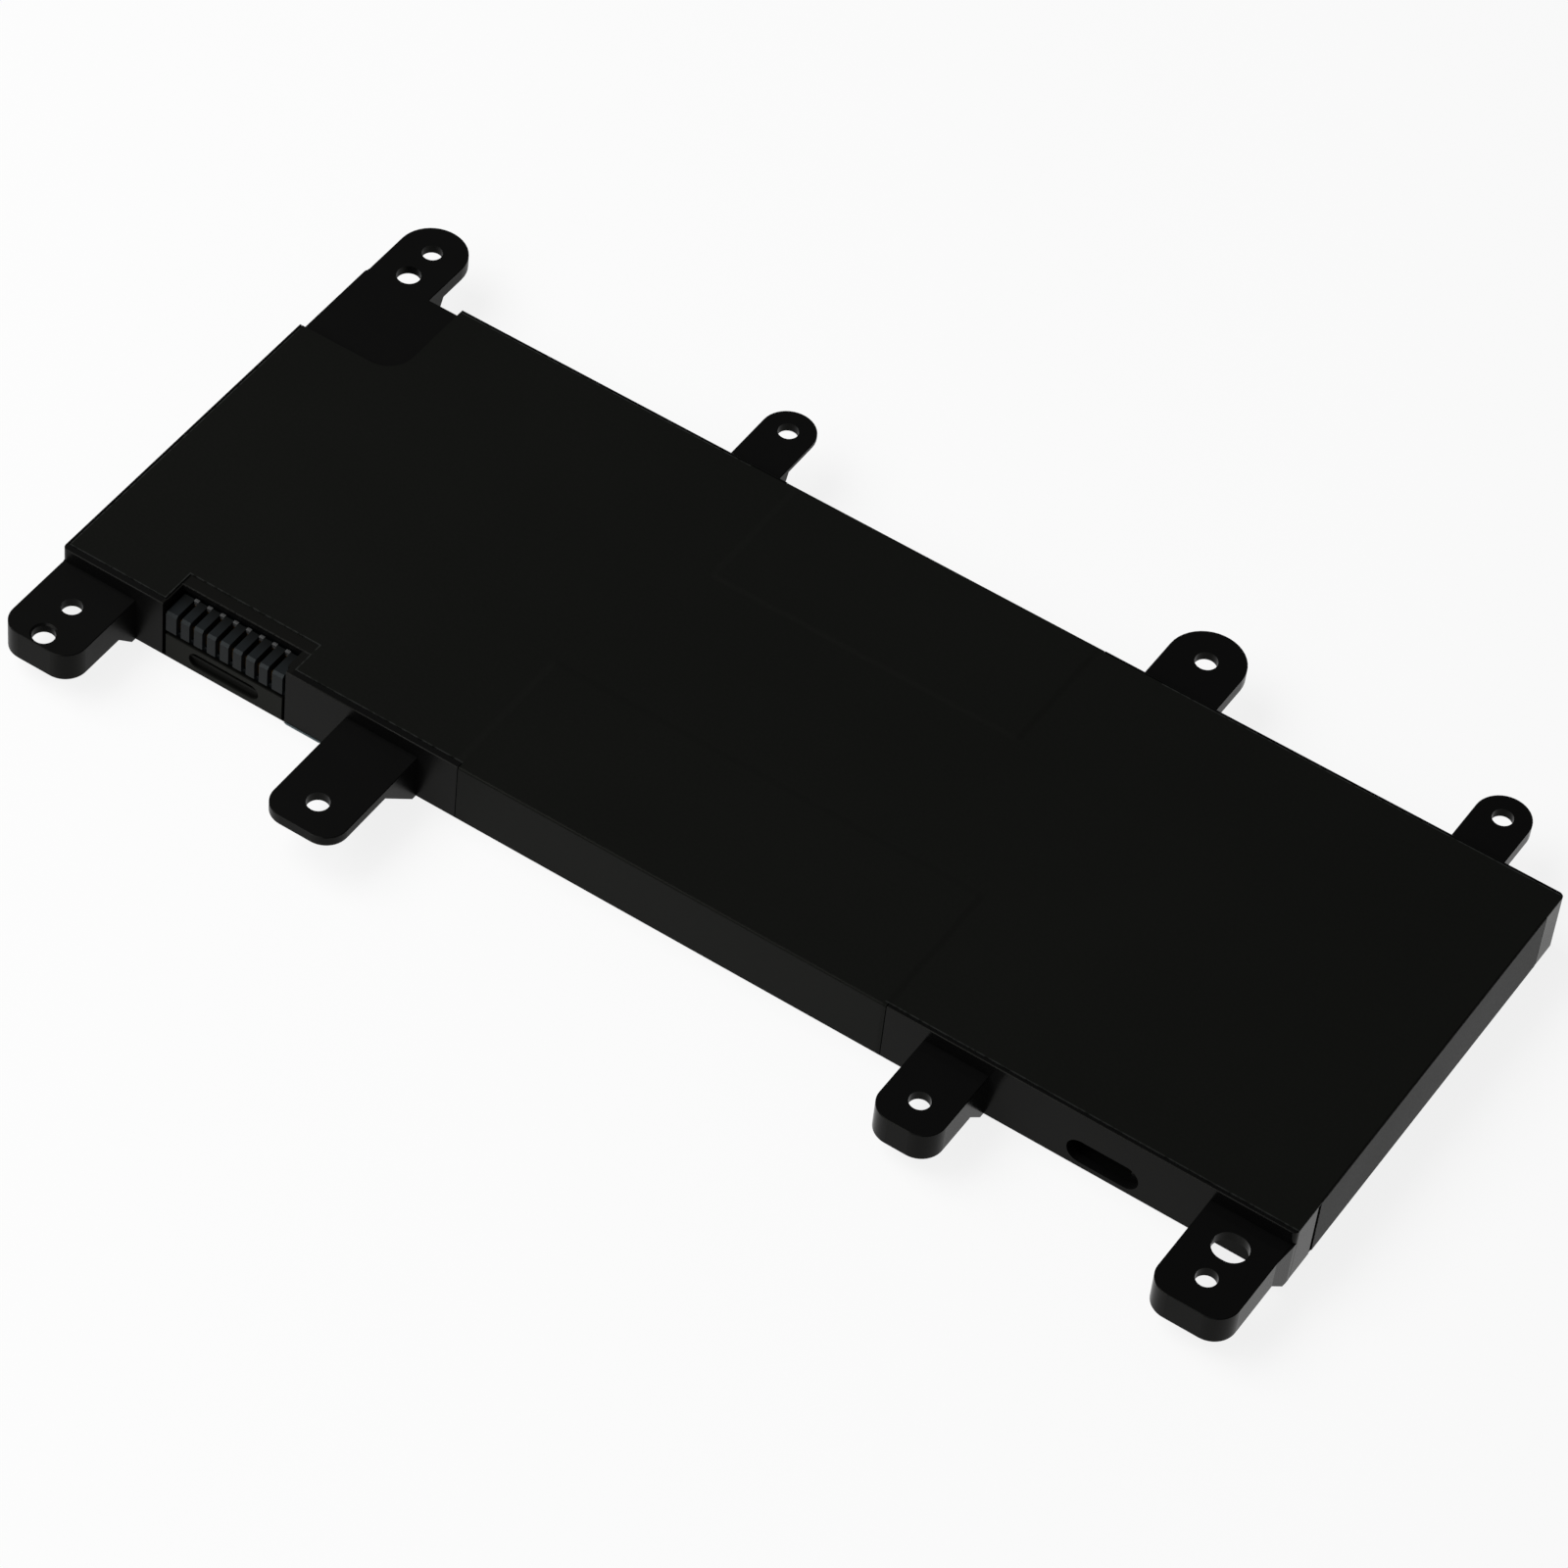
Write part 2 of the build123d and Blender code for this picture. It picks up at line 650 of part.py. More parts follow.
pieces = {
    "moulded_frame": frame,
    "top_film": top_film,
    "bottom_film": bottom_film,
    "connector_housing": housing,
    "connector_panel": panel,
    "circuit_board": board,
    "board_sheet": under_sheet,
    "protector_chip": leaded_chip(*protector_chip_size, protector_chip_lead_count),
    "charge_transistor": chip(*charge_transistor_size),
    "discharge_transistor": chip(*discharge_transistor_size),
    "board_fuse": chip(*fuse_size),
    "sense_resistor": chip(*sense_resistor_size),
    "gauge_chip": leaded_chip(*gauge_chip_size, gauge_chip_lead_count),
    "thermistor": chip(*thermistor_size),
    "board_capacitors": chip_row(capacitor_size, 0, capacitor_step, capacitor_count),
    "board_resistors": chip_row(resistor_size, resistor_step, 0, resistor_count),
    "positive_lead": positive_lead,
    "series_link": series_link,
    "negative_lead": negative_lead,
    "lead_tape": lead_tape,
    "cell_divider": divider,
}
for n, piece in enumerate(contacts):
    pieces[f"connector_contact_{n + 1}"] = piece
tab_names = ["left_positive", "left_negative", "right_positive", "right_negative"]
for name, tab, seal in zip(tab_names, tabs, seals):
    pieces[f"{name}_tab"] = tab
    pieces[f"{name}_seal"] = seal
for side, cell, pad, foam in zip(["left", "right"], cells, pads, foams):
    pieces[f"{side}_cell"] = cell
    pieces[f"{side}_cell_pad"] = pad
    pieces[f"{side}_cell_foam"] = foam

os.makedirs("parts", exist_ok=True)
for name, shape in pieces.items():
    export_step(shape, f"parts/{name}.step")
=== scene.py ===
"""Finishes, connector springs and stage of a flat laptop battery pack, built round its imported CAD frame."""
import math

import bpy
import numpy as np
from bpy.props import FloatProperty, FloatVectorProperty, IntProperty, PointerProperty
from mathutils import Matrix, Vector


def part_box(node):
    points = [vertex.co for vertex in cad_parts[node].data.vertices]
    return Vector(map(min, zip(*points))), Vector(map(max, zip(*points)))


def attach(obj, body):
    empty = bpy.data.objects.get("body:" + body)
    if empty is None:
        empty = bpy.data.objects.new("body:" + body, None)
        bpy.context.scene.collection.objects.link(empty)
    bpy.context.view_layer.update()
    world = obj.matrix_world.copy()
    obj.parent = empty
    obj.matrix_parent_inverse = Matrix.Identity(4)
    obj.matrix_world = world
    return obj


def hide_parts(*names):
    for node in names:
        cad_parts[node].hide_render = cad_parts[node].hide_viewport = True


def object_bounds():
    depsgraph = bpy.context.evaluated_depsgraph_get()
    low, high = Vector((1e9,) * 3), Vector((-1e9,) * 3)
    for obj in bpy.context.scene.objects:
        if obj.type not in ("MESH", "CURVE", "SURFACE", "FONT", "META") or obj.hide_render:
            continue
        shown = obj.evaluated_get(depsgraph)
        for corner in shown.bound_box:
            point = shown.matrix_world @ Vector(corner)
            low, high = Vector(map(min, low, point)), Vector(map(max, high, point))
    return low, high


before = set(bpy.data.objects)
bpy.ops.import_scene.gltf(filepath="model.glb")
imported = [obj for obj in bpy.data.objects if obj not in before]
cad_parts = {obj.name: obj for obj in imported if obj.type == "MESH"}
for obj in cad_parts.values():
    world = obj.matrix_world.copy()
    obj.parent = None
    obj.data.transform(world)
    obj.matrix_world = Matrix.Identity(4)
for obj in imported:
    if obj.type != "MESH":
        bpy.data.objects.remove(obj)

bl_info = {
    "name": "Laptop battery pack",
    "version": (1, 0, 0),
    "blender": (4, 5, 0),
    "location": "View3D > Sidebar > Battery pack",
    "description": "Dresses a flat laptop battery pack and sets its studio",
    "category": "Object",
}

MM = 0.001
CAD_LOW, CAD_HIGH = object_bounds()
UNDER_LOW, UNDER_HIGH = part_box("bottom_film")

# Sides of the film's cut-out over the connector, in millimetres
CUT_LEFT, CUT_RIGHT = -74.6, -54.75

# Tint of the sheen on plastic and film
WARM_SHEEN = (1.0, 1.0, 0.88, 1.0)

# Range of a noise over which a painted highlight fades in, so that it breaks into dashes
DASHED_HIGHLIGHT = (0.3, 0.6)

# Parts of a unit normal: on a bevel of 45 degrees, leaving an upright face, reaching a level face
BEVEL, UPRIGHT, LEVEL = (0.65, 0.75), (0.05, 0.1), (0.9, 0.95)

# How far the streaks of a metal are drawn out along each axis
EVEN, ALONG_X, ALONG_Y = (1.0, 1.0, 1.0), (8.0, 1.0, 1.0), (1.0, 8.0, 1.0)

# Number of points and squareness of each swept outline
ARM_OUTLINE, RISER_OUTLINE, TAIL_OUTLINE, LINER_OUTLINE = (20, 8.0), (24, 8.0), (16, 6.0), (16, 5.0)

# Angle between faces from which an edge is drawn sharp
SHARP_FROM = math.radians(50)

# Gap that keeps the floor clear of the underside
FLOOR_GAP = 0.02 * MM


def length(name, description, millimetres):
    """A length that a user may change, written here in millimetres."""
    return FloatProperty(
        name=name, description=description, default=millimetres * MM, unit="LENGTH", precision=5,
    )


def share(name, description, default, top=1.0):
    """A plain number from 0 up, such as a roughness or a strength."""
    return FloatProperty(
        name=name, description=description, default=default, min=0.0, max=top, subtype="FACTOR",
    )


def angle(name, description, degrees):
    """An angle that a user may change, written here in degrees."""
    return FloatProperty(
        name=name, description=description, default=math.radians(degrees), subtype="ANGLE",
    )


def colour(name, description, default):
    """A linear colour that a user may change."""
    return FloatVectorProperty(
        name=name, description=description, default=default, min=0.0, max=1.0, subtype="COLOR",
    )


class Value:
    """A shader socket that takes part in sums: each operator adds one Math node to its finish."""

    def __init__(self, finish, socket):
        self.finish = finish
        self.socket = socket

    def _math(self, operation, first, second):
        return self.finish.node("ShaderNodeMath", {"operation": operation}, {0: first, 1: second})

    def __add__(self, other):
        return self._math("ADD", self, other)

    def __radd__(self, other):
        return self._math("ADD", other, self)

    def __sub__(self, other):
        return self._math("SUBTRACT", self, other)

    def __rsub__(self, other):
        return self._math("SUBTRACT", other, self)

    def __mul__(self, other):
        return self._math("MULTIPLY", self, other)

    def __rmul__(self, other):
        return self._math("MULTIPLY", other, self)

    def most(self, other):
        """The larger of this and another."""
        return self._math("MAXIMUM", self, other)


class Finish:
    """A procedural material on Object coordinates, with one way to add a node."""

    def __init__(self, name):
        self.material = bpy.data.materials.new(name)
        self.material.use_nodes = True
        self.tree = self.material.node_tree
        self.tree.nodes.clear()
        self.place = self.node("ShaderNodeTexCoord", output="Object")

    def node(self, kind, settings=None, inputs=None, output=0):
        """Adds a node: its settings first, then the values or links of its sockets."""
        made = self.tree.nodes.new(kind)
        for key, value in (settings or {}).items():
            setattr(made, key, value)
        for key, value in (inputs or {}).items():
            if isinstance(value, Value):
                self.tree.links.new(value.socket, made.inputs[key])
            else:
                made.inputs[key].default_value = value
        return Value(self, made.outputs[output])

    def axes(self):
        """The three coordinates of a point, in metres."""
        return self.parts(self.place)

    def facing(self):
        """The three parts of the surface's unit normal."""
        return self.parts(self.node("ShaderNodeTexCoord", output="Normal"))

    def parts(self, vector):
        """The three parts of a vector."""
        split = self.node("ShaderNodeSeparateXYZ", None, {0: vector}).socket.node
        return [Value(self, socket) for socket in split.outputs]

    def noise(self, size, detail=2.0, stretch=(1.0, 1.0, 1.0)):
        """Soft noise from 0 to 1 with features of the given size, drawn out along an axis by stretch."""
        scale = tuple(1.0 / (size * s) for s in stretch)
        where = self.node(
            "ShaderNodeMapping", {"vector_type": "POINT"}, {"Vector": self.place, "Scale": scale},
        )
        return self.node("ShaderNodeTexNoise", None, {"Vector": where, "Scale": 1.0, "Detail": detail})

    def step(self, value, start, end):
        """A smooth rise from 0 at start to 1 at end."""
        return self.node(
            "ShaderNodeMapRange", {"interpolation_type": "SMOOTHSTEP"},
            {"Value": value, "From Min": start, "From Max": end},
        )

    def band(self, value, start, end, edge):
        """1 between start and end, falling to 0 over a soft edge outside them."""
        return self.step(value, start - edge, start) * (1.0 - self.step(value, end, end + edge))

    def border(self, across, along, width):
        """1 on a border of the given width outside a rectangle of two spans (value, start, end)."""
        (x, x0, x1), (y, y0, y1) = across, along
        apart = (x0 - x).most(x - x1).most((y0 - y).most(y - y1))
        return self.band(apart, 0.0, width, 0.3 * width)

    def mix(self, factor, first, second):
        """A colour between two colours."""
        colours = [tone if isinstance(tone, Value) else (*tone, 1.0) for tone in (first, second)]
        return self.node("ShaderNodeMix", {"data_type": "RGBA"}, {0: factor, 6: colours[0], 7: colours[1]}, 2)

    def relief(self, height):
        """A normal from a height in millimetres."""
        return self.node("ShaderNodeBump", None, {"Strength": 1.0, "Distance": MM, "Height": height})

    def surface(self, **inputs):
        """Ends the material with a Principled shader; an underscore in a name stands for a space."""
        named = {key.replace("_", " "): value for key, value in inputs.items()}
        shader = self.node("ShaderNodeBsdfPrincipled", None, named)
        self.node_output(shader)
        return self.material

    def node_output(self, shader):
        """Links a shader to the material's output."""
        out = self.tree.nodes.new("ShaderNodeOutputMaterial")
        self.tree.links.new(shader.socket, out.inputs["Surface"])


def tint(tone, factor):
    """A colour made lighter or darker by a factor."""
    return tuple(min(1.0, channel * factor) for channel in tone)


def dress(material, *names):
    """Gives CAD nodes a finish; their meshes stay as they are."""
    for name in names:
        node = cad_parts[name]
        if not node.material_slots:
            node.data.materials.append(material)
        for place in node.material_slots:
            place.material = material


def moulded(name, tone, roughness, grain, specular, painted_highlight=None, painted_shade=None, ledge=None, dull=0.0):
    """Moulded plastic: cloudy colour and a fine grain that varies the sheen, duller to the left if asked.

    It can have a painted highlight on its front bevels, painted shade that darkens it between two places
    behind
    its front, and a ledge: a patch painted lighter as painted light, with a painted highlight along its
    front, both given by the frame's settings.
    """
    finish = Finish(name)
    cloud = finish.noise(18.0 * MM, 3.0)
    pits = finish.noise(grain, 2.0)
    smear = finish.noise(5.0 * MM, 2.0, (3.0, 1.0, 1.0))
    x, y, z = finish.axes()
    base = finish.mix(cloud, tint(tone, 0.88), tint(tone, 1.12))
    # Painted shade: the colour darkens to three tenths between two places behind the front, where a recess or
    # the rear of the comb lies in shade
    if painted_shade:
        base = finish.mix(finish.step(y, *painted_shade), base, tint(tone, 0.3))
    if ledge:
        # Ledge: a patch of the same plastic painted lighter as painted light, with a painted highlight along
        # its front
        soft = 0.05 * MM
        top, front, rear = ledge.ledge_height, ledge.ledge_front, ledge.ledge_rear
        patch = finish.step(z, top - 2 * soft, top)
        patch = patch * finish.band(x, ledge.ledge_left, ledge.ledge_right, soft)
        under_film = finish.step(y, rear, rear + 2 * soft)
        base = finish.mix(patch * (1.0 - under_film), base, ledge.ledge_painted_light)
        # Painted highlight along the ledge's front edge, broken into dashes by a noise
        line = patch * finish.band(y, front, front + ledge.ledge_line, soft)
        base = finish.mix(line * finish.step(pits, *DASHED_HIGHLIGHT), base, ledge.ledge_edge_highlight)
    if painted_highlight:
        # Painted highlight: bevels that face front and up are painted paler, broken into dashes by a noise
        _, toward_rear, upward = finish.facing()
        bevel = finish.band(upward, *BEVEL, 0.05) * finish.band(-1.0 * toward_rear, *BEVEL, 0.05)
        base = finish.mix(bevel * finish.step(smear, *DASHED_HIGHLIGHT), base, painted_highlight)
    left = 1.0 - finish.step(x, CAD_LOW.x, CAD_HIGH.x)
    return finish.surface(
        Base_Color=base,
        Roughness=roughness + 0.1 * (pits - 0.5) + 0.1 * (smear - 0.5) + dull * left,
        Normal=finish.relief(0.006 * pits),
        Specular_IOR_Level=specular,
        Specular_Tint=WARM_SHEEN,
    )


def metal(name, tone, roughness, stretch):
    """Rolled or plated metal: fine drawn-out streaks in colour, gloss and relief."""
    finish = Finish(name)
    streak = finish.noise(0.12 * MM, 3.0, stretch)
    cloud = finish.noise(6.0 * MM, 2.0)
    return finish.surface(
        Base_Color=finish.mix(0.6 * streak + 0.4 * cloud, tint(tone, 0.8), tint(tone, 1.1)),
        Metallic=1.0,
        Roughness=roughness + 0.2 * (streak - 0.5),
        Normal=finish.relief(0.002 * streak),
    )


def soft_sheet(name, tone, roughness, fibre, relief):
    """Paper, polymer strip or foam: mottled colour over a fibrous or pored relief."""
    finish = Finish(name)
    pores = finish.noise(fibre, 4.0)
    cloud = finish.noise(9.0 * MM, 2.0)
    return finish.surface(
        Base_Color=finish.mix(0.5 * pores + 0.5 * cloud, tint(tone, 0.7), tint(tone, 1.2)),
        Roughness=roughness + 0.2 * (pores - 0.5),
        Normal=finish.relief(relief * pores),
    )


def superellipse(width, thick, count, power):
    """Closed outline |2u/width|^power + |2v/thick|^power = 1, as count points turning from u to v."""
    turn = np.linspace(0.0, 2.0 * np.pi, count, endpoint=False)
    c, s = np.cos(turn), np.sin(turn)
    u = np.sign(c) * np.abs(c) ** (2.0 / power) * width / 2
    v = np.sign(s) * np.abs(s) ** (2.0 / power) * thick / 2
    return np.stack([u, v], 1)


def sweep(outline, path, side, swell=None):
    """Carries an outline along a path: point = path(t) + swell(t) * (u * side + v * (tangent x side)).

    The two ends are closed, so the result is one closed shell of points and faces.
    """
    path = np.asarray(path, float)
    swell = np.ones(len(path)) if swell is None else swell
    tangent = np.gradient(path, axis=0)
    tangent /= np.linalg.norm(tangent, axis=1, keepdims=True)
    side = np.broadcast_to(np.asarray(side, float), path.shape)
    other = np.cross(tangent, side)
    across = outline[None, :, 0, None] * side[:, None] + outline[None, :, 1, None] * other[:, None]
    points = path[:, None] + swell[:, None, None] * across
    rows, count = points.shape[:2]
    ring = np.arange(rows * count).reshape(rows, count)
    turned = np.roll(ring, -1, 1)
    quads = np.stack([ring[:-1], turned[:-1], turned[1:], ring[1:]], -1).reshape(-1, 4)
    faces = [*quads.tolist(), ring[0, ::-1].tolist(), ring[-1].tolist()]
    return points.reshape(-1, 3), faces


def solid(name, shells, material, body):
    """One mesh object of closed shells, riding on a body of the frame."""
    start, points, faces = 0, [], []
    for shell_points, shell_faces in shells:
        points.append(shell_points)
        faces += [[start + corner for corner in face] for face in shell_faces]
        start += len(shell_points)
    mesh = bpy.data.meshes.new(name)
    mesh.from_pydata(np.concatenate(points).tolist(), [], faces)
    mesh.shade_smooth()
    mesh.set_sharp_from_angle(angle=SHARP_FROM)
    mesh.materials.append(material)
    piece = bpy.data.objects.new(name, mesh)
    bpy.context.scene.collection.objects.link(piece)
    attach(piece, body)
    return piece


class FrameSettings(bpy.types.PropertyGroup):
    """The moulded frame and the panel under the connector."""

    tone: colour("Plastic", "Colour of the moulded frame", (0.0038, 0.0038, 0.0038))
    roughness: share("Roughness", "Sheen of the moulding", 0.18)
    dull: share("Duller", "Roughness that the moulding gains to its left end", 0.18)
    specular: share("Specular", "Strength of the sheen", 0.055)
    grain: length("Grain", "Size of the moulded grain", 0.3)
    # Painted highlight on the frame's front bevels
    painted_highlight: colour("Worn edge", "Colour of the worn bevel along the front", (0.012, 0.012, 0.012))
    # Painted light: the ledge is the frame's own plastic painted lighter
    ledge_painted_light: colour("Ledge", "Colour of the ledge in the film's cut-out", (0.0058, 0.0058, 0.0053))
    # Painted highlight along the ledge's front edge
    ledge_edge_highlight: colour("Ledge edge", "Colour of the worn line along the ledge", (0.018, 0.018, 0.017))
    ledge_left: length("Ledge left", "Left end of the ledge", CUT_LEFT)
    ledge_right: length("Ledge right", "Right end of the ledge", CUT_RIGHT)
    ledge_front: length("Ledge front", "Front edge of the ledge behind the connector", -28.45)
    ledge_rear: length("Ledge rear", "Rear edge of the ledge, under the film", -26.0)
    ledge_line: length("Ledge line", "Width of the worn line", 0.2)
    ledge_height: length("Ledge height", "Height of the ledge", 9.2)
    panel_tone: colour("Panel", "Colour of the dull panel under the connector", (0.012, 0.0125, 0.011))
    panel_front: length("Panel front", "Place of the panel's front face", -32.65)
    # Painted shade: the panel's recess is painted darker over this depth
    panel_recess_shade: length("Panel recess", "Depth over which the panel's recess darkens", 0.3)
    panel_roughness: share("Panel roughness", "Sheen of the dull panel", 0.6)
    panel_specular: share("Panel specular", "Strength of the panel's sheen", 0.05)


class FilmSettings(bpy.types.PropertyGroup):
    """The films over the top and the underside."""

    tone: colour("Film", "Colour of the film", (0.0062, 0.0065, 0.0058))
    # Pale cut edges, and a painted highlight along the film's top edges
    cut_edge_and_highlight_tone: colour("Edge", "Colour of the film's cut edges", (0.02, 0.021, 0.02))
    edge_width: length("Edge width", "Width of the worn line along the film's cut edges", 0.15)
    sheet_left: length("Sheet left", "Left edge of the film", -89.6)
    sheet_rear: length("Sheet rear", "Rear edge of the film", 32.3)
    sheet_front_left: length("Sheet front left", "Front edge of the film left of its fold", -31.7)
    sheet_front_right: length("Sheet front right", "Front edge of the film right of its fold", -32.1)
    cut_left: length("Cut left", "Left side of the cut-out over the connector", CUT_LEFT)
    cut_right: length("Cut right", "Right side of the cut-out over the connector", CUT_RIGHT)
    cut_rear: length("Cut rear", "Rear side of the cut-out over the connector", -26.55)
    edge_from: length("Edge from", "Height above which an upright face of the film is a cut edge", 9.21)
    roughness: share("Roughness", "Sheen of the film", 0.4)
    specular: share("Specular", "Strength of the sheen", 0.04)
    grain: length("Grain", "Size of the film's speckle", 0.35)
    flap_edge: length("Flap edge", "Width over which the film climbs a flap under it", 1.2)
    rear_flap_left: length("Rear flap left", "Left edge of the flap under the rear of the film", -22.0)
    rear_flap_right: length("Rear flap right", "Right edge of the flap under the rear of the film", 22.3)
    rear_flap_front: length("Rear flap front", "Front edge of the flap under the rear of the film", 13.8)
    front_flap_left: length("Front flap left", "Left edge of the flap under the front of the film", -29.4)
    front_flap_right: length("Front flap right", "Right edge of the flap under the front of the film", 32.3)
    front_flap_rear: length("Front flap rear", "Rear edge of the flap under the front of the film", -11.7)
    liner_tone: colour("Liner tone", "Blue-grey edge of the liner", (0.09, 0.12, 0.13))
    liner_start: length("Liner start", "Left end of the liner's edge at the front", -55.5)
    liner_end: length("Liner end", "Right end of the liner's edge at the front", -49.6)
    liner_reach: length("Liner reach", "How far the liner stands out of the underside's front edge", 0.3)
    liner_share: share("Liner share", "Thickness of the liner as a share of the film's", 0.7)


class ConnectorSettings(bpy.types.PropertyGroup):
    """The comb of the blade connector and its springs."""

    tone: colour("Comb", "Colour of the connector's comb", (0.0078, 0.0098, 0.0115))
    # Painted highlight on the comb's front bevels
    painted_highlight: colour("Comb edge", "Colour of the comb's front bevels", (0.022, 0.026, 0.029))
    roughness: share("Roughness", "Sheen of the comb", 0.5)
    specular: share("Specular", "Strength of the comb's sheen", 0.1)
    grain: length("Grain", "Size of the comb's grain", 0.2)
    # Painted shade: the comb's colour is painted darker towards its rear
    shade_from: length("Shade from", "Place where the comb begins to darken to the rear", -32.1)
    shade_to: length("Shade to", "Place where the comb is darkest", -28.5)
    gold: colour("Gold", "Colour of the plated springs", (0.3, 0.17, 0.05))
    tin: colour("Tin", "Colour of the springs' dull tops", (0.045, 0.046, 0.046))
    count: IntProperty(name="Springs", description="Number of springs in the comb", default=8, min=1)
    sheet: length("Sheet", "Thickness of the spring sheet", 0.15)
    arm: length("Arm", "Length of a spring's arms from front to rear", 2.5)
    arm_height: length("Arm height", "Height of a spring's arms", 2.0)
    arm_rise: length("Arm rise", "Height of the comb's base under the arms", 0.75)
    bow: length("Bow", "How far the arms bow into the slot", 0.17)
    riser: length("Riser", "Thickness of a spring's riser", 0.5)
    riser_gap: length("Riser gap", "Distance from a spring's arms to its riser", 0.15)
    riser_round: length("Riser round", "Rounding at the top of a spring's riser", 0.08)
    tail_width: length("Tail width", "Width of a spring's tail on the board", 0.5)
    tail: length("Tail", "Thickness of a spring's tail on the board", 0.2)
    tin_from: length("Tin from", "Height above which a spring is dull tin", 7.5)


class InsideSettings(bpy.types.PropertyGroup):
    """The cells, the board and what joins them."""

    foil: colour("Foil", "Colour of the pouch foil", (0.62, 0.63, 0.64))
    aluminium: colour("Aluminium", "Colour of the aluminium tabs", (0.78, 0.78, 0.79))
    nickel: colour("Nickel", "Colour of the nickel strips", (0.6, 0.58, 0.54))
    seal: colour("Seal", "Colour of the strips that seal the tabs", (0.72, 0.69, 0.58))
    board: colour("Board", "Colour of the board's solder mask", (0.012, 0.1, 0.045))
    paper: colour("Paper", "Colour of the insulating sheet and pads", (0.68, 0.66, 0.6))
    chip: colour("Chip", "Colour of the moulded chips", (0.02, 0.02, 0.021))
    ceramic: colour("Ceramic", "Colour of the small ceramic parts", (0.45, 0.32, 0.2))
    tape: colour("Tape", "Colour of the amber tape", (0.5, 0.22, 0.03))
    foam: colour("Foam", "Colour of the foam", (0.03, 0.03, 0.031))


class StageSettings(bpy.types.PropertyGroup):
    """The camera, the lights and the floor."""

    azimuth: angle("Azimuth", "Turn of the camera from straight in front", 28.185)
    elevation: angle("Elevation", "Height of the camera above the horizon", 48.2626)
    roll: angle("Roll", "Turn of the camera about its own axis", 6.9003)
    distance: length("Distance", "Distance from the camera to its target", 808.972)
    target: FloatVectorProperty(
        name="Target", description="Point that the camera looks at", subtype="TRANSLATION", unit="LENGTH",
        default=(1.8444 * MM, -6.8995 * MM, 4.7 * MM),
    )
    lens: FloatProperty(name="Lens", description="Focal length", default=150.5072, unit="CAMERA")
    sensor: FloatProperty(name="Sensor", description="Width of the sensor", default=36.0, unit="CAMERA")
    floor_tone: colour("Floor", "Colour of the floor", (0.9, 0.9, 0.9))
    floor_reach: length("Floor reach", "Distance from the pack to the floor's edge", 6000.0)
    floor_glow: share("Floor glow", "Share of plain white in what is seen of the floor", 0.85)
    world: share("World", "Brightness of the room", 0.12)
    key: share("Key", "Power of the soft light at the left end", 9.8, 500.0)
    key_azimuth: angle("Key azimuth", "Turn of the key light from straight in front", -75.0)
    key_elevation: angle("Key elevation", "Height of the key light above the horizon", 50.0)
    key_distance: length("Key distance", "Distance from the key light to the target", 1100.0)
    key_size: length("Key size", "Side of the square key light", 800.0)
    fill: share("Fill", "Power of the soft light at the left front", 1.4, 500.0)
    fill_azimuth: angle("Fill azimuth", "Turn of the fill light from straight in front", -28.0)
    fill_elevation: angle("Fill elevation", "Height of the fill light above the horizon", 42.0)
    fill_distance: length("Fill distance", "Distance from the fill light to the target", 700.0)
    fill_size: length("Fill size", "Side of the square fill light", 400.0)
    clip_start: length("Clip start", "Nearest distance that the camera shows", 10.0)
    clip_end: length("Clip end", "Farthest distance that the camera shows", 100000.0)


class BATTERY_OT_frame(bpy.types.Operator):
    """Gives the moulded frame and the connector's panel their black moulded plastic"""

    bl_idname = "battery.frame"
    bl_label = "Moulded frame"

    def execute(self, context):
        s = context.scene.battery_frame
        # Painted highlight on the front bevels, and painted light on the ledge
        plastic = moulded(
            "black_moulding", s.tone, s.roughness, s.grain, s.specular, s.painted_highlight, ledge=s, dull=s.dull,
        )
        dress(plastic, "moulded_frame")
        # Painted shade darkens the floor of the panel's recess
        painted_shade = (s.panel_front + 0.1 * s.panel_recess_shade, s.panel_front + s.panel_recess_shade)
        panel = moulded("dull_panel", s.panel_tone, s.panel_roughness, s.grain, s.panel_specular, painted_shade=painted_shade)
        dress(panel, "connector_panel")
        return {"FINISHED"}


